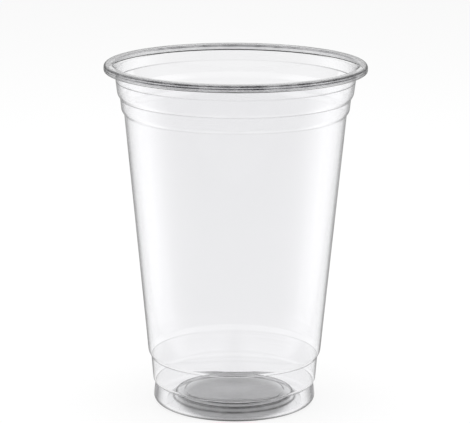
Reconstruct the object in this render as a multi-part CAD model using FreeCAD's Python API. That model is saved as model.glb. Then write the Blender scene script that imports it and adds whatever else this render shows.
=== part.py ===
import FreeCAD, Part
import math
import os

# A clear disposable drinks cup, formed in one piece from thin plastic sheet.
# It stands on the table at z = 0, open end up, and is round about the Z axis.
# All sizes are in millimetres.

# Sheet thickness: thickest in the base, thinner where the side and the rim were stretched.
base_sheet = 0.50
side_sheet = 0.30
rim_sheet = 0.30

# Foot: a ring that widens a little towards the table.
foot_diameter = 59.8
foot_height = 7.6
foot_pinch = 0.9
foot_bend = 1.8
foot_ring_width = 5.3

# Base inside the foot: a shallow slope, a step up and a raised round panel.
slope_width = 2.7
slope_rise = 1.1
step_lean = 0.8
step_rise = 1.8
panel_border = 2.7
bead_lean = 0.5
bead_rise = 0.3
base_bend = 0.3

# Lower stacking band, above the foot.
lower_ledge = 0.8
lower_ledge_rise = 0.7
lower_band_height = 9.0
lower_band_spread = 0.75

# Long tapered side.
side_ledge = 1.0
side_ledge_rise = 1.7
side_height = 88.2
side_spread = 8.45

# Upper stacking band.
upper_ledge = 1.0
upper_ledge_rise = 1.4
upper_band_height = 4.4
upper_band_spread = 0.45

# Neck below the rim.
neck_ledge = 0.95
neck_ledge_rise = 1.4
neck_height = 5.0
neck_spread = 0.65

# Lip: a short upright wall above the neck.
lip_height = 3.7
lip_spread = 0.1

# Rolled rim: the sheet leans out from the lip, runs level, turns down and tucks back under.
roll_slope_width = 1.15
roll_slope_rise = 2.02
roll_width = 2.67
roll_drop = 2.14
roll_return = 1.2
roll_bend = 0.9

# Bends between the bands, measured on the tight side of the sheet: a fine crease where a wall
# meets the ledge above it, softer at the top of the side, and a round shoulder above each ledge.
crease_bend = 0.3
side_top_bend = 1.5
shoulder_bend = 3.0
lip_bend = 0.5

# A bend may use at most this share of the straight run on either side of it.
longest_bend_share = 0.48


def outer_path():
    """Corners of the sheet's outer face, from the middle of the base to the rim's cut edge.

    Each corner is (radius, height, bend, thickness of the sheet that follows it).
    """
    corners = []
    foot_radius = foot_diameter / 2.0
    slope_edge = foot_radius - foot_ring_width
    step_foot = slope_edge - slope_width
    step_top = step_foot - step_lean
    bead_foot = step_top - panel_border
    bead_top = bead_foot - bead_lean
    panel_height = slope_rise + step_rise

    def add(radius, height, bend, sheet):
        corners.append((radius, height, bend, sheet))

    def add_step(spread, rise, bend, sheet):
        last = corners[-1]
        add(last[0] + spread, last[1] + rise, bend, sheet)

    # Base, outwards from the axis.
    add(0.0, panel_height + bead_rise, 0.0, base_sheet)
    add(bead_top, panel_height + bead_rise, base_bend, base_sheet)
    add(bead_foot, panel_height, base_bend, base_sheet)
    add(step_top, panel_height, base_bend, base_sheet)
    add(step_foot, slope_rise, base_bend, base_sheet)
    add(slope_edge, 0.0, base_bend, base_sheet)
    add(foot_radius, 0.0, foot_bend, side_sheet)

    # Foot, bands and side, upwards.
    add_step(-foot_pinch, foot_height, crease_bend, side_sheet)
    add_step(lower_ledge, lower_ledge_rise, shoulder_bend, side_sheet)
    add_step(lower_band_spread, lower_band_height, crease_bend, side_sheet)
    add_step(side_ledge, side_ledge_rise, shoulder_bend, side_sheet)
    add_step(side_spread, side_height, side_top_bend, side_sheet)
    add_step(upper_ledge, upper_ledge_rise, shoulder_bend, side_sheet)
    add_step(upper_band_spread, upper_band_height, crease_bend, side_sheet)
    add_step(neck_ledge, neck_ledge_rise, shoulder_bend, side_sheet)
    add_step(neck_spread, neck_height, crease_bend, side_sheet)

    # Lip and rolled rim.
    add_step(lip_spread, lip_height, lip_bend, rim_sheet)
    add_step(roll_slope_width, roll_slope_rise, roll_bend, rim_sheet)
    add_step(roll_width, 0.0, roll_bend, rim_sheet)
    add_step(0.0, -roll_drop, roll_bend, rim_sheet)
    add_step(-roll_return, 0.0, 0.0, rim_sheet)
    return corners


def left_normal(start, end):
    """Unit normal that points to the drink side of a run of the sheet."""
    run = end - start
    return FreeCAD.Vector(-run.z, 0.0, run.x).normalize()


def meet(point_a, along_a, point_b, along_b):
    """Point where two lines of the section meet."""
    cross = along_a.x * along_b.z - along_a.z * along_b.x
    gap = point_b - point_a
    share = (gap.x * along_b.z - gap.z * along_b.x) / cross
    return point_a + along_a * share


def inner_points(points, sheets):
    """The outer corners moved through the sheet, to the drink side."""
    normals = []
    for start, end in zip(points[:-1], points[1:]):
        normals.append(left_normal(start, end))
    moved = [points[0] + normals[0] * sheets[0]]
    for place in range(1, len(points) - 1):
        before = points[place] + normals[place - 1] * sheets[place - 1]
        after = points[place] + normals[place] * sheets[place]
        along_before = points[place] - points[place - 1]
        along_after = points[place + 1] - points[place]
        moved.append(meet(before, along_before, after, along_after))
    moved.append(points[-1] + normals[-1] * sheets[len(normals) - 1])
    return moved


def turns_left(before, corner, after):
    """True where the sheet bends towards its drink side."""
    first = corner - before
    second = after - corner
    return first.x * second.z - first.z * second.x > 0.0


def bend_radii(points, bends, sheets, drink_side):
    """Radius of every bend on one face: the tight side has the bend itself."""
    radii = [0.0]
    for place in range(1, len(points) - 1):
        tight = turns_left(points[place - 1], points[place], points[place + 1]) == drink_side
        sheet = max(sheets[place - 1], sheets[place])
        radii.append(bends[place] if tight else bends[place] + sheet)
    radii.append(0.0)
    return radii


def rounded_run(points, radii):
    """Straight lines and tangent arcs through the corners of one face."""
    edges = []
    start = points[0]
    for place in range(1, len(points) - 1):
        corner = points[place]
        back = points[place - 1] - corner
        ahead = points[place + 1] - corner
        half_angle = back.getAngle(ahead) / 2.0
        room = min(back.Length, ahead.Length) * longest_bend_share
        reach = min(radii[place] / math.tan(half_angle), room)
        radius = reach * math.tan(half_angle)
        back.normalize()
        ahead.normalize()
        middle_way = (back + ahead).normalize()
        arc_start = corner + back * reach
        arc_end = corner + ahead * reach
        arc_middle = corner + middle_way * (radius / math.sin(half_angle) - radius)
        edges.append(Part.makeLine(start, arc_start))
        edges.append(Part.Arc(arc_start, arc_middle, arc_end).toShape())
        start = arc_end
    edges.append(Part.makeLine(start, points[-1]))
    return edges


def make_cup():
    """The whole cup: its closed section turned once about the Z axis."""
    corners = outer_path()
    outer = [FreeCAD.Vector(radius, 0.0, height) for radius, height, bend, sheet in corners]
    bends = [corner[2] for corner in corners]
    sheets = [corner[3] for corner in corners]
    inner = inner_points(outer, sheets)

    edges = rounded_run(outer, bend_radii(outer, bends, sheets, False))
    edges.append(Part.makeLine(outer[-1], inner[-1]))
    edges += rounded_run(inner, bend_radii(outer, bends, sheets, True))
    edges.append(Part.makeLine(inner[0], outer[0]))

    section = Part.Face(Part.Wire(Part.__sortEdges__(edges)))
    turned = section.revolve(FreeCAD.Vector(0, 0, 0), FreeCAD.Vector(0, 0, 1), 360.0)
    if turned.ShapeType == "Solid":
        return turned
    return Part.Solid(turned.Shells[0])


os.makedirs("parts", exist_ok=True)
cup = make_cup()
cup.exportStep("parts/cup.step")
box = cup.optimalBoundingBox()
print("cup", "valid", cup.isValid(), "solids", len(cup.Solids), "faces", len(cup.Faces))
print("volume", round(cup.Volume, 1), "across", round(box.XLength, 2), "high", round(box.ZLength, 2))
print("lowest", round(box.ZMin, 4))
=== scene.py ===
import math

import bpy
from mathutils import Matrix, Vector


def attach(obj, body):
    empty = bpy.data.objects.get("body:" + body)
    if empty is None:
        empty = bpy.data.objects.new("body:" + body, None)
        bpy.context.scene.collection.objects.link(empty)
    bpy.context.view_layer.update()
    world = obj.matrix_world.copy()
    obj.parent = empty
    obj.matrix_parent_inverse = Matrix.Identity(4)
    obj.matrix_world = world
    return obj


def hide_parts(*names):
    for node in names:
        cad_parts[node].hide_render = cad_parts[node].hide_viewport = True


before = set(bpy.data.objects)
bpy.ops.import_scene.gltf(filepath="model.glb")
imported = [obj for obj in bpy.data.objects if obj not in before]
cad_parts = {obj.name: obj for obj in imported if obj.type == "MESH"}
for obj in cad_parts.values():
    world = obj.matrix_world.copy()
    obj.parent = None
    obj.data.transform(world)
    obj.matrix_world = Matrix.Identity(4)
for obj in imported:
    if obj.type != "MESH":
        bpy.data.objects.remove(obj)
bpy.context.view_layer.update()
print("frame loaded:", sorted(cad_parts))

mm = 0.001


def hexToLinear(hexCode):
    # sRGB hex to the linear values that shaders take
    channels = [int(hexCode[i:i + 2], 16) / 255 for i in (1, 3, 5)]
    return [c / 12.92 if c <= 0.04045 else ((c + 0.055) / 1.055) ** 2.4 for c in channels] + [1.0]


def addNode(tree, kind, settings=None, links=None):
    # settings: node options by name, and socket values by socket name or number
    # links: socket name or number -> output socket that feeds it
    # a colour mix takes its share at socket 0 and its colours at 6 and 7, and gives its result at 2
    node = tree.nodes.new(kind)
    for name, value in (settings or {}).items():
        if isinstance(name, str) and hasattr(node, name):
            setattr(node, name, value)
        else:
            node.inputs[name].default_value = value
    for name, output in (links or {}).items():
        tree.links.new(output, node.inputs[name])
    return node


# the cup's own sizes, in mm, as it is formed

cupShape = {
    "baseSheet": 0.50, "sideSheet": 0.30, "rimSheet": 0.30,
    "footDiameter": 59.8, "footHeight": 7.6, "footPinch": 0.9, "footBend": 1.8, "footRingWidth": 5.3,
    "slopeWidth": 2.7, "slopeRise": 1.1, "stepLean": 0.8, "stepRise": 1.8,
    "panelBorder": 2.7, "beadLean": 0.5, "beadRise": 0.3, "baseBend": 0.3,
    "lowerLedge": 0.8, "lowerLedgeRise": 0.7, "lowerBandHeight": 9.0, "lowerBandSpread": 0.75,
    "sideLedge": 1.0, "sideLedgeRise": 1.7, "sideHeight": 88.2, "sideSpread": 8.45,
    "upperLedge": 1.0, "upperLedgeRise": 1.4, "upperBandHeight": 4.4, "upperBandSpread": 0.45,
    "neckLedge": 0.95, "neckLedgeRise": 1.4, "neckHeight": 5.0, "neckSpread": 0.65,
    "lipHeight": 3.7, "lipSpread": 0.1,
    "rollSlopeWidth": 1.15, "rollSlopeRise": 2.02,
    "rollWidth": 2.67, "rollDrop": 2.14, "rollReturn": 1.2, "rollBend": 0.9,
    "creaseBend": 0.3, "sideTopBend": 1.5, "shoulderBend": 3.0, "lipBend": 0.5, "longestBendShare": 0.48,
    "around": 256,  # segments round the cup
    "arcStep": 9.0,  # degrees turned by one piece of a bend
    "longestRun": 10.0,  # straight runs are divided into pieces of this length
    "nearLines": (0.15, 0.3, 0.5, 0.8),  # closer pieces beside every line, where the shade changes
    "closest": 1e-6,  # samples nearer to each other than this are one
    # painted shade: a fine grey line along each crease, where the sheet was pulled over an edge of the
    # mould
    "creaseHalfWidth": 0.2,
    # painted shade: the base's lines are wider, and its raised panel is painted a little grey all over
    "baseLineHalfWidth": 0.5, "panelPaintedShade": 0.24,
    # painted shade: the roll's wall is greyer: all that lies beyond this radius and has turned this far
    # from level
    "rollWallRadius": 46.2, "rollWallTurn": 0.3, "rollPaintedShade": 0.16, "rollPaintedCreaseShade": 0.7,
    # fine lines of painted shade round that wall: height, strength, half width
    "rollPaintedLines": ((124.8, 1.0, 0.33), (124.0, 1.0, 0.34), (123.2, 0.35, 0.45)),
    "footPaintedEdgeShade": 1.0,  # painted shade: the foot's wall is darker where it turns away
}


def cupCorners(s):
    # outer face of the sheet: [radius, height, bend, sheet that follows,
    # painted crease line on the outside, painted crease line on the drink side, painted line of the base]
    footRadius = s["footDiameter"] / 2
    slopeEdge = footRadius - s["footRingWidth"]
    stepFoot = slopeEdge - s["slopeWidth"]
    stepTop = stepFoot - s["stepLean"]
    beadFoot = stepTop - s["panelBorder"]
    beadTop = beadFoot - s["beadLean"]
    panelHeight = s["slopeRise"] + s["stepRise"]
    base, side, rim = s["baseSheet"], s["sideSheet"], s["rimSheet"]
    corners = [
        [0.0, panelHeight + s["beadRise"], 0.0, base, 0, 0, 0],
        [beadTop, panelHeight + s["beadRise"], s["baseBend"], base, 0, 0, 0],
        [beadFoot, panelHeight, s["baseBend"], base, 0, 0, 0],
        [stepTop, panelHeight, s["baseBend"], base, 0, 0, 0.9],
        [stepFoot, s["slopeRise"], s["baseBend"], base, 0, 0, 0.8],
        [slopeEdge, 0.0, s["baseBend"], base, 0, 0, 0],
        [footRadius, 0.0, s["footBend"], side, 0, 0, 0],
    ]
    rises = [
        (-s["footPinch"], s["footHeight"], s["creaseBend"], side, 1, 0.3, 0),
        (s["lowerLedge"], s["lowerLedgeRise"], s["shoulderBend"], side, 0, 0, 0),
        (s["lowerBandSpread"], s["lowerBandHeight"], s["creaseBend"], side, 0.9, 0.4, 0),
        (s["sideLedge"], s["sideLedgeRise"], s["shoulderBend"], side, 0, 0, 0),
        (s["sideSpread"], s["sideHeight"], s["sideTopBend"], side, 0.3, 0, 0),
        (s["upperLedge"], s["upperLedgeRise"], s["shoulderBend"], side, 0, 0, 0),
        (s["upperBandSpread"], s["upperBandHeight"], s["creaseBend"], side, 0.8, 0, 0),
        (s["neckLedge"], s["neckLedgeRise"], s["shoulderBend"], side, 0, 0, 0),
        (s["neckSpread"], s["neckHeight"], s["creaseBend"], side, 1, 1, 0),
        (s["lipSpread"], s["lipHeight"], s["lipBend"], rim, 0.2, 0.2, 0),
        (s["rollSlopeWidth"], s["rollSlopeRise"], s["rollBend"], rim, 0, 0, 0),
        (s["rollWidth"], 0.0, s["rollBend"], rim, 0, 0, 0),
        (0.0, -s["rollDrop"], s["rollBend"], rim, 0, 0, 0),
        (-s["rollReturn"], 0.0, 0.0, rim, 0, 0, 0),
    ]
    for out, up, *rest in rises:
        corners.append([corners[-1][0] + out, corners[-1][1] + up, *rest])
    return corners


def drinkSide(run):
    # unit normal on the left of a run of the section, which is where the drink is
    return Vector((-run.y, run.x)).normalized()


def innerCorners(points, sheets):
    # each corner moved through the sheet, where the two moved runs meet
    sides = [drinkSide(b - a) for a, b in zip(points, points[1:])]
    moved = [points[0] + sides[0] * sheets[0]]
    for i in range(1, len(points) - 1):
        a, alongA = points[i] + sides[i - 1] * sheets[i - 1], points[i] - points[i - 1]
        b, alongB = points[i] + sides[i] * sheets[i], points[i + 1] - points[i]
        moved.append(a + alongA * ((b - a).cross(alongB) / alongA.cross(alongB)))
    moved.append(points[-1] + sides[-1] * sheets[len(sides) - 1])
    return moved


def lineShade(away, halfWidth):
    # how strong a soft line still is at this distance from its middle
    return math.exp(-(away / halfWidth) ** 2)


def roundedFace(points, radii, marks, s, normalSign):
    # samples one face of the section as (point, normal, crease, grey, edge), with exact normals at
    # every bend; crease, grey and edge are painted shade; normalSign is 1 on the drink side and -1 on the
    # outside
    # marks: the strength of the painted crease line and of the painted base line at every corner
    samples = []
    panelRadius = s["footDiameter"] / 2 - s["footRingWidth"] - s["slopeWidth"] - s["stepLean"]

    def addSample(point, normal):
        creasePaintedShade, paintedGreyShade, edgePaintedShade = 0.0, 0.0, 0.0
        for corner, (creaseMark, baseMark) in zip(points, marks):
            away = (point - corner).length
            creasePaintedShade = max(creasePaintedShade, creaseMark * lineShade(away, s["creaseHalfWidth"]))
            paintedGreyShade = max(paintedGreyShade, baseMark * lineShade(away, s["baseLineHalfWidth"]))
        if point.x < panelRadius:
            paintedGreyShade = max(paintedGreyShade, s["panelPaintedShade"])
        if point.x > s["rollWallRadius"] and abs(normal.x) > s["rollWallTurn"]:
            creasePaintedShade, paintedGreyShade = s["rollPaintedCreaseShade"], s["rollPaintedShade"]
            for height, strength, halfWidth in s["rollPaintedLines"]:
                paintedGreyShade = max(paintedGreyShade, strength * lineShade(point.y - height, halfWidth))
        onFootWall = point.y < s["footHeight"] and point.x > s["footDiameter"] / 2 - s["footBend"]
        if normalSign < 0 and onFootWall:
            edgePaintedShade = s["footPaintedEdgeShade"]
        samples.append((point, normal, creasePaintedShade, paintedGreyShade, edgePaintedShade))

    def addRun(a, b, lineAtStart, lineAtEnd):
        # a straight run, with closer samples at an end whose corner has a line
        normal = drinkSide(b - a) * normalSign
        length = (b - a).length
        near = [d for d in s["nearLines"] if d < length / 2]
        first = [0, *near] if lineAtStart else [0]
        last = [length - d for d in reversed(near)] + [length] if lineAtEnd else [length]
        between = last[0] - first[-1]
        pieces = max(1, math.ceil(between / s["longestRun"]))
        for d in first + [first[-1] + between * k / pieces for k in range(1, pieces)] + last:
            addSample(a.lerp(b, d / length), normal)

    start = points[0]
    onRoll = [normalSign > 0 and corner.x > s["rollWallRadius"] for corner in points]
    hasLine = [onWall or max(mark) > 0 for onWall, mark in zip(onRoll, marks)]
    for i in range(1, len(points) - 1):
        corner = points[i]
        back, ahead = points[i - 1] - corner, points[i + 1] - corner
        half = back.angle(ahead) / 2
        reach = min(radii[i] / math.tan(half), min(back.length, ahead.length) * s["longestBendShare"])
        radius = reach * math.tan(half)
        arcStart, arcEnd = corner + back.normalized() * reach, corner + ahead.normalized() * reach
        addRun(start, arcStart, hasLine[i - 1], hasLine[i])
        centre = corner + (back.normalized() + ahead.normalized()).normalized() * radius / math.sin(half)
        turn = (arcStart - centre).angle_signed(arcEnd - centre)
        steps = max(2, math.ceil(abs(math.degrees(turn)) / s["arcStep"]))
        facing = drinkSide(-back) * normalSign
        for k in range(1, steps):
            spin = Matrix.Rotation(-turn * k / steps, 2)
            addSample(centre + spin @ (arcStart - centre), spin @ facing)
        start = arcEnd
    addRun(start, points[-1], hasLine[-2], hasLine[-1])
    return samples


def cupSection(s):
    corners = cupCorners(s)
    outer = [Vector(c[:2]) for c in corners]
    bends, sheets = [c[2] for c in corners], [c[3] for c in corners]
    outsideMarks, drinkMarks = [(c[4], c[6]) for c in corners], [(c[5], c[6]) for c in corners]
    inner = innerCorners(outer, sheets)
    # the cut edge of the rim is rounded over half the sheet
    edgeRadius = sheets[-1] / 2
    for face in (outer, inner):
        face[-1] = face[-1] + (face[-2] - face[-1]).normalized() * edgeRadius
    outerRadii, innerRadii = [0.0], [0.0]
    for i in range(1, len(outer) - 1):
        left = (outer[i] - outer[i - 1]).cross(outer[i + 1] - outer[i]) > 0
        wide = bends[i] + max(sheets[i - 1], sheets[i])
        outerRadii.append(wide if left else bends[i])
        innerRadii.append(bends[i] if left else wide)
    samples = roundedFace(outer, outerRadii, outsideMarks, s, -1)
    # the rounded cut edge takes the roll's painted shade
    middle = (outer[-1] + inner[-1]) / 2
    steps = math.ceil(180 / s["arcStep"] / 2)
    for k in range(1, steps):
        spin = Matrix.Rotation(-math.pi * k / steps, 2)
        out = spin @ (outer[-1] - middle)
        samples.append((middle + out, out.normalized(), 0.0, s["rollPaintedShade"], 0.0))
    samples += list(reversed(roundedFace(inner, innerRadii, drinkMarks, s, 1)))
    kept = [samples[0]]
    for sample in samples[1:]:
        if (sample[0] - kept[-1][0]).length > s["closest"]:
            kept.append(sample)
    return kept


def turnedMesh(name, samples, around):
    # samples run from the axis under the base, round the rim, to the axis above the base
    # the painted shade, as crease, grey and edge, goes to the material as attributes of the vertices
    verts, normals, faces, creases, greys, edges = [], [], [], [], [], []
    rings = samples[1:-1]
    for point, normal, creasePaintedShade, paintedGreyShade, edgePaintedShade in rings:
        for k in range(around):
            a = 2 * math.pi * k / around
            verts.append((point.x * math.cos(a) * mm, point.x * math.sin(a) * mm, point.y * mm))
            normals.append((normal.x * math.cos(a), normal.x * math.sin(a), normal.y))
        creases += [creasePaintedShade] * around
        greys += [paintedGreyShade] * around
        edges += [edgePaintedShade] * around
    under, over = len(verts), len(verts) + 1
    verts += [(0, 0, samples[0][0].y * mm), (0, 0, samples[-1][0].y * mm)]
    normals += [(0, 0, -1), (0, 0, 1)]
    lastRing = (len(rings) - 1) * around
    for k in range(around):
        n = (k + 1) % around
        faces.append((under, n, k))
        faces.append((over, lastRing + k, lastRing + n))
        for row in range(len(rings) - 1):
            low, high = row * around, (row + 1) * around
            faces.append((low + k, low + n, high + n, high + k))
    mesh = bpy.data.meshes.new(name)
    mesh.from_pydata(verts, [], faces)
    mesh.update()
    mesh.shade_smooth()
    mesh.normals_split_custom_set_from_vertices(normals)
    for label, values in (("creasePaintedShade", creases), ("paintedGreyShade", greys), ("edgePaintedShade", edges)):
        mesh.attributes.new(label, "FLOAT", "POINT").data.foreach_set("value", values + [0.0, 0.0])
    piece = bpy.data.objects.new(name, mesh)
    bpy.context.scene.collection.objects.link(piece)
    return piece


petLook = {
    "clear": "#FDFDFE", "paintedGreyShade": "#2E2D31",
    "ior": 1.575,  # amorphous PET
    "roughness": 0.02,
    # the painted crease shade hardly shows face on (0) and grows dark where the wall turns away (1)
    "creaseFrom": 0.05, "creaseTo": 0.55, "creaseFaceOn": 0.12,
    "edgeFrom": 0.45, "edgeTo": 0.75,  # painted shade: where the foot's wall darkens as it turns away
    "patchSize": 7.0,  # mm between stronger and weaker patches of the painted shade
    "patchFrom": 0.35, "patchTo": 0.65, "patchContrast": 0.2,
    "waveSize": 14.0, "waveDepth": 0.5,  # mm, the soft waves left by stretching the hot sheet
    "waveStrength": 0.04,
}


def thermoformedPet(look):
    # clear PET sheet, drawn hot into a polished mould: glass-clear, hard gloss, faint waves;
    # painted shade: fine grey lines at its creases, and grey on the roll, the base and the foot's turning
    # wall
    material = bpy.data.materials.new("thermoformed clear PET")
    material.use_nodes = True
    tree = material.node_tree
    tree.nodes.clear()
    creasePaintedShade = addNode(tree, "ShaderNodeAttribute", {"attribute_name": "creasePaintedShade"})
    paintedGreyShade = addNode(tree, "ShaderNodeAttribute", {"attribute_name": "paintedGreyShade"})
    turned = addNode(tree, "ShaderNodeLayerWeight", {"Blend": 0.5})
    showing = addNode(tree, "ShaderNodeMapRange", {
        "From Min": look["creaseFrom"], "From Max": look["creaseTo"], "To Min": look["creaseFaceOn"],
    }, {"Value": turned.outputs["Facing"]})
    # a painted line on one skin of the sheet shows from that side only
    side = addNode(tree, "ShaderNodeNewGeometry")
    nearSkin = addNode(tree, "ShaderNodeMath", {"operation": "SUBTRACT", 0: 1.0},
                       {1: side.outputs["Backfacing"]})
    nearCrease = addNode(tree, "ShaderNodeMath", {"operation": "MULTIPLY"},
                         {0: creasePaintedShade.outputs["Fac"], 1: nearSkin.outputs[0]})
    line = addNode(tree, "ShaderNodeMath", {"operation": "MULTIPLY"},
                   {0: nearCrease.outputs[0], 1: showing.outputs[0]})
    edgePaintedShade = addNode(tree, "ShaderNodeAttribute", {"attribute_name": "edgePaintedShade"})
    edgeOn = addNode(tree, "ShaderNodeMapRange", {
        "interpolation_type": "SMOOTHSTEP", "From Min": look["edgeFrom"], "From Max": look["edgeTo"],
    }, {"Value": turned.outputs["Facing"], "To Max": edgePaintedShade.outputs["Fac"]})
    nearEdge = addNode(tree, "ShaderNodeMath", {"operation": "MULTIPLY"},
                       {0: edgeOn.outputs[0], 1: nearSkin.outputs[0]})
    lines = addNode(tree, "ShaderNodeMath", {"operation": "MAXIMUM"},
                    {0: line.outputs[0], 1: nearEdge.outputs[0]})
    place = addNode(tree, "ShaderNodeTexCoord")
    patches = addNode(tree, "ShaderNodeTexNoise", {
        "Scale": 1 / (look["patchSize"] * mm), "Detail": 2.0, "Roughness": 0.6,
    }, {"Vector": place.outputs["Object"]})
    unevenness = addNode(tree, "ShaderNodeMapRange", {
        "From Min": look["patchFrom"], "From Max": look["patchTo"],
        "To Min": 1 - look["patchContrast"], "To Max": 1 + look["patchContrast"],
    }, {"Value": patches.outputs["Fac"]})
    uneven = addNode(tree, "ShaderNodeMath", {"operation": "MULTIPLY", "use_clamp": True},
                     {0: paintedGreyShade.outputs["Fac"], 1: unevenness.outputs[0]})
    shade = addNode(tree, "ShaderNodeMath", {"operation": "MAXIMUM"},
                    {0: lines.outputs[0], 1: uneven.outputs[0]})
    # painted shade: the sheet's colour goes from clear to dark grey by the shade
    tint = addNode(tree, "ShaderNodeMix", {
        "data_type": "RGBA", 6: hexToLinear(look["clear"]), 7: hexToLinear(look["paintedGreyShade"]),
    }, {0: shade.outputs[0]})
    waves = addNode(tree, "ShaderNodeTexNoise", {
        "Scale": 1 / (look["waveSize"] * mm), "Detail": 1.0, "Roughness": 0.4,
    }, {"Vector": place.outputs["Object"]})
    bump = addNode(tree, "ShaderNodeBump", {
        "Strength": look["waveStrength"], "Distance": look["waveDepth"] * mm,
    }, {"Height": waves.outputs["Fac"]})
    plastic = addNode(tree, "ShaderNodeBsdfPrincipled", {
        "Roughness": look["roughness"], "IOR": look["ior"], "Transmission Weight": 1.0,
    }, {"Base Color": tint.outputs[2], "Normal": bump.outputs["Normal"]})
    addNode(tree, "ShaderNodeOutputMaterial", None, {"Surface": plastic.outputs["BSDF"]})
    return material


cup = turnedMesh("clear_cup", cupSection(cupShape), cupShape["around"])
cup.data.materials.append(thermoformedPet(petLook))
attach(cup, "root")
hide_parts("cup")
print("cup built:", sum(len(p.vertices) - 2 for p in cup.data.polygons), "triangles")


# floor and studio: the paper and the room look plain white to the eye, and the cup mirrors a room
# with a light on each side and dark in front and behind, which draws its form; the table it mirrors, with
# a pool of light round the foot, is painted reflection on the floor

studio = {
    "floorSize": 6.0,  # metres
    "floorColour": "#F6F6F6",
    "whiteForCamera": 0.85,  # share of the floor that is burnt out to plain white in the picture
    # under the foot, seen through the cup, the paper's own shade shows only inside this painted oval, a
    # band from front to back; outside it the paper is burnt out to white
    "shadeMiddle": -2.0, "shadeAcross": 22.0, "shadeAlong": 33.0,  # mm, its middle and half sizes
    "shadeCore": 0.78,  # share of the way out at which the shade starts to fade
    "shadeWhite": 0.21,  # white left in its middle
    "lampHeight": 0.9, "lampSize": 0.7, "lampPower": 9.0,
    "roomForFloor": 0.5,  # what the walls of the room give the floor
    # painted light: a pool of light round the cup's foot, as if the cup threw it on the table, seen only
    # in the cup's reflections
    "glow": 0.88,
    "glowMiddle": -4.0,  # mm, and so are all the next
    "glowInner": 22.0, "glowFull": 26.0, "glowFades": 34.0, "glowEnds": 120.0,  # from its middle outwards
    "glowFrom": -15.0, "glowTo": 23.0,  # it grows to left and right, from part to whole
    "glowFront": 5.0, "glowBack": 30.0,  # it fades towards the back, from whole to none
}


roomLook = {
    "wallFromAxis": 26.0,  # mm
    # the room over the table by bearing: tall soft lights to left and right, dim before and behind
    "above": [(0.0, 0.85), (0.12, 0.8), (0.2, 0.6), (0.34, 1.1), (0.6, 1.1), (0.72, 0.6), (1.0, 0.6)],
    # near the horizon the room is darker: its share of the light there, and the heights it changes at
    "horizonShare": 0.4, "horizonTo": 0.07, "lightFrom": 0.2,
    # painted reflection: how bright the table looks in the cup's reflections only, by bearing, from
    # straight behind the cup (0) round to the camera (1)
    "table": [(0.0, 0.42), (0.16, 0.42), (0.2, 0.75), (0.26, 1.0), (0.36, 1.2), (0.44, 1.1),
              (0.51, 0.7), (0.63, 0.25), (0.8, 0.06), (1.0, 0.06)],
}


def bearingGrey(tree, place, stops, wallFromAxis):
    # grey by the bearing of a place on the table or of a direction, the same to left and right
    parts = addNode(tree, "ShaderNodeSeparateXYZ", None, {0: place})
    aside = addNode(tree, "ShaderNodeMath", {"operation": "ABSOLUTE"}, {0: parts.outputs["X"]})
    sideways = addNode(tree, "ShaderNodeMath", {"operation": "SUBTRACT", 1: wallFromAxis * mm},
                       {0: aside.outputs[0]})
    beside = addNode(tree, "ShaderNodeMath", {"operation": "MAXIMUM", 1: 0.0}, {0: sideways.outputs[0]})
    compass = addNode(tree, "ShaderNodeMath", {"operation": "ARCTAN2"},
                      {0: beside.outputs[0], 1: parts.outputs["Y"]})
    turn = addNode(tree, "ShaderNodeMath", {"operation": "DIVIDE", 1: math.pi}, {0: compass.outputs[0]})
    ramp = addNode(tree, "ShaderNodeValToRGB", None, {0: turn.outputs[0]})
    band = ramp.color_ramp.elements
    for position, value in stops[1:-1]:
        band.new(position)
    for stop, (position, value) in zip(band, stops):
        stop.position = position
        stop.color = (value, value, value, 1)
    return ramp.outputs[0]


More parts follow.
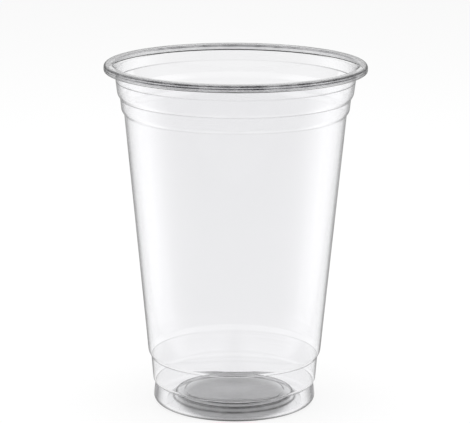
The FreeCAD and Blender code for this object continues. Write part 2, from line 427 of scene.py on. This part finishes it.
def paleFloor(s, look):
    bpy.ops.mesh.primitive_plane_add(size=s["floorSize"], location=(0, 0, 0))
    floor = bpy.context.object
    floor.name = "floor"
    material = bpy.data.materials.new("matt white paper sweep")
    material.use_nodes = True
    tree = material.node_tree
    tree.nodes.clear()
    ray = addNode(tree, "ShaderNodeLightPath")
    place = addNode(tree, "ShaderNodeNewGeometry")
    fromShade = addNode(tree, "ShaderNodeVectorMath", {
        "operation": "SUBTRACT", 1: (0, s["shadeMiddle"] * mm, 0),
    }, {0: place.outputs["Position"]})
    oval = addNode(tree, "ShaderNodeVectorMath", {
        "operation": "DIVIDE", 1: (s["shadeAcross"] * mm, s["shadeAlong"] * mm, 1),
    }, {0: fromShade.outputs["Vector"]})
    reach = addNode(tree, "ShaderNodeVectorMath", {"operation": "LENGTH"}, {0: oval.outputs["Vector"]})
    outside = addNode(tree, "ShaderNodeMapRange", {
        "interpolation_type": "SMOOTHSTEP", "From Min": s["shadeCore"],
        "To Min": s["shadeWhite"], "To Max": s["whiteForCamera"],
    }, {"Value": reach.outputs["Value"]})
    through = addNode(tree, "ShaderNodeMath", {"operation": "MULTIPLY"}, {
        0: ray.outputs["Is Transmission Ray"], 1: outside.outputs[0],
    })
    direct = addNode(tree, "ShaderNodeMath", {"operation": "MULTIPLY", 1: s["whiteForCamera"]},
                     {0: ray.outputs["Is Camera Ray"]})
    mirrored = addNode(tree, "ShaderNodeMath", {"operation": "GREATER_THAN", 1: 0.5},
                       {0: ray.outputs["Glossy Depth"]})
    share = addNode(tree, "ShaderNodeMath", {"operation": "MAXIMUM"},
                    {0: through.outputs[0], 1: direct.outputs[0]})
    paper = addNode(tree, "ShaderNodeBsdfDiffuse", {"Color": hexToLinear(s["floorColour"])})
    white = addNode(tree, "ShaderNodeEmission", {"Color": (1, 1, 1, 1), "Strength": 1.0})
    fromGlow = addNode(tree, "ShaderNodeVectorMath", {
        "operation": "DISTANCE", 1: (0, s["glowMiddle"] * mm, 0),
    }, {0: place.outputs["Position"]})
    rising = addNode(tree, "ShaderNodeMapRange", {
        "From Min": s["glowInner"] * mm, "From Max": s["glowFull"] * mm,
    }, {"Value": fromGlow.outputs["Value"]})
    fading = addNode(tree, "ShaderNodeMapRange", {
        "From Min": s["glowFades"] * mm, "From Max": s["glowEnds"] * mm, "To Max": 0.0,
    }, {"Value": fromGlow.outputs["Value"], "To Min": rising.outputs[0]})
    parts = addNode(tree, "ShaderNodeSeparateXYZ", None, {0: place.outputs["Position"]})
    aside = addNode(tree, "ShaderNodeMath", {"operation": "ABSOLUTE"}, {0: parts.outputs["X"]})
    sideGlow = addNode(tree, "ShaderNodeMapRange", {
        "From Min": s["glowFrom"] * mm, "From Max": s["glowTo"] * mm,
    }, {"Value": aside.outputs[0], "To Max": fading.outputs[0]})
    glow = addNode(tree, "ShaderNodeMapRange", {
        "From Min": s["glowBack"] * mm, "From Max": s["glowFront"] * mm,
    }, {"Value": parts.outputs["Y"], "To Max": sideGlow.outputs[0]})
    # painted reflection: in the cup's reflections the floor shows the table by bearing and the pool of
    # light round the foot
    paintedFloorReflection = addNode(tree, "ShaderNodeMix", {"data_type": "RGBA", 7: [s["glow"]] * 3 + [1]}, {
        0: glow.outputs[0],
        6: bearingGrey(tree, place.outputs["Position"], look["table"], look["wallFromAxis"]),
    })
    dim = addNode(tree, "ShaderNodeEmission", None, {"Color": paintedFloorReflection.outputs[2]})
    straight = addNode(tree, "ShaderNodeMixShader", None, {
        0: share.outputs[0], 1: paper.outputs[0], 2: white.outputs[0],
    })
    both = addNode(tree, "ShaderNodeMixShader", None, {
        0: mirrored.outputs[0], 1: straight.outputs[0], 2: dim.outputs[0],
    })
    addNode(tree, "ShaderNodeOutputMaterial", None, {"Surface": both.outputs[0]})
    floor.data.materials.append(material)


def softLamp(name, place, target, size, power):
    data = bpy.data.lights.new(name, "AREA")
    data.shape = "SQUARE"
    data.size = size
    data.energy = power
    lamp = bpy.data.objects.new(name, data)
    lamp.location = place
    lamp.rotation_euler = (Vector(target) - Vector(place)).to_track_quat("-Z", "Y").to_euler()
    lamp.visible_camera = False
    lamp.visible_transmission = False
    lamp.visible_glossy = False
    bpy.context.scene.collection.objects.link(lamp)


def studioWorld(look, s):
    world = bpy.data.worlds.new("white studio")
    bpy.context.scene.world = world
    world.use_nodes = True
    tree = world.node_tree
    tree.nodes.clear()
    ray = addNode(tree, "ShaderNodeLightPath")
    mirrored = addNode(tree, "ShaderNodeMath", {"operation": "GREATER_THAN", 1: 0.5},
                       {0: ray.outputs["Glossy Depth"]})
    direction = addNode(tree, "ShaderNodeTexCoord")
    parts = addNode(tree, "ShaderNodeSeparateXYZ", None, {0: direction.outputs["Generated"]})
    height = addNode(tree, "ShaderNodeMapRange", {
        "From Min": look["horizonTo"], "From Max": look["lightFrom"], "To Min": look["horizonShare"],
    }, {"Value": parts.outputs["Z"]})
    room = addNode(tree, "ShaderNodeVectorMath", {"operation": "SCALE"}, {
        0: bearingGrey(tree, direction.outputs["Generated"], look["above"], 0), "Scale": height.outputs[0],
    })
    seen = addNode(tree, "ShaderNodeMix", {"data_type": "RGBA", 6: (1, 1, 1, 1)},
                   {0: mirrored.outputs[0], 7: room.outputs["Vector"]})
    dim = [s["roomForFloor"]] * 3 + [1]
    onFloor = addNode(tree, "ShaderNodeMath", {"operation": "GREATER_THAN", 1: 0.5},
                      {0: ray.outputs["Diffuse Depth"]})
    lit = addNode(tree, "ShaderNodeMix", {"data_type": "RGBA", 7: dim},
                  {0: onFloor.outputs[0], 6: seen.outputs[2]})
    glow = addNode(tree, "ShaderNodeBackground", None, {0: lit.outputs[2]})
    addNode(tree, "ShaderNodeOutputWorld", None, {0: glow.outputs[0]})


paleFloor(studio, roomLook)
lampPlace = (0, 0, studio["lampHeight"])
softLamp("overhead softbox", lampPlace, (0, 0, 0), studio["lampSize"], studio["lampPower"])
studioWorld(roomLook, studio)
print("studio built")


# camera, matched to the photograph

photoCamera = {
    "photoWidth": 470,  # pixels
    "focalLength": 2335.7,  # pixels
    "sensorWidth": 36.0,  # mm
    "nearest": 0.01, "farthest": 20.0,  # metres, what the camera takes in
    "distance": 0.825997, "height": 0.262206,  # metres from the cup's axis and above the table
    "pitch": 13.0478, "yaw": 0.0012, "roll": 0.2703,  # degrees, down, left and clockwise
}


def matchedCamera(c):
    data = bpy.data.cameras.new("photo camera")
    data.sensor_width = c["sensorWidth"]
    data.lens = c["focalLength"] * c["sensorWidth"] / c["photoWidth"]
    data.clip_start, data.clip_end = c["nearest"], c["farthest"]
    camera = bpy.data.objects.new("photo camera", data)
    turned = (
        Matrix.Rotation(math.radians(c["yaw"]), 4, "Z")
        @ Matrix.Rotation(math.radians(90 - c["pitch"]), 4, "X")
        @ Matrix.Rotation(math.radians(c["roll"]), 4, "Z")
    )
    camera.matrix_world = Matrix.Translation((0, -c["distance"], c["height"])) @ turned
    bpy.context.scene.collection.objects.link(camera)
    bpy.context.scene.camera = camera


# how often light may turn: a line of sight crosses many skins of the clear sheet

lightTurns = {"all": 24, "through": 24, "mirrored": 8}

matchedCamera(photoCamera)
scene = bpy.context.scene
scene.view_settings.view_transform = "Standard"
scene.cycles.max_bounces = lightTurns["all"]
scene.cycles.transmission_bounces = lightTurns["through"]
scene.cycles.glossy_bounces = lightTurns["mirrored"]
print("camera set")
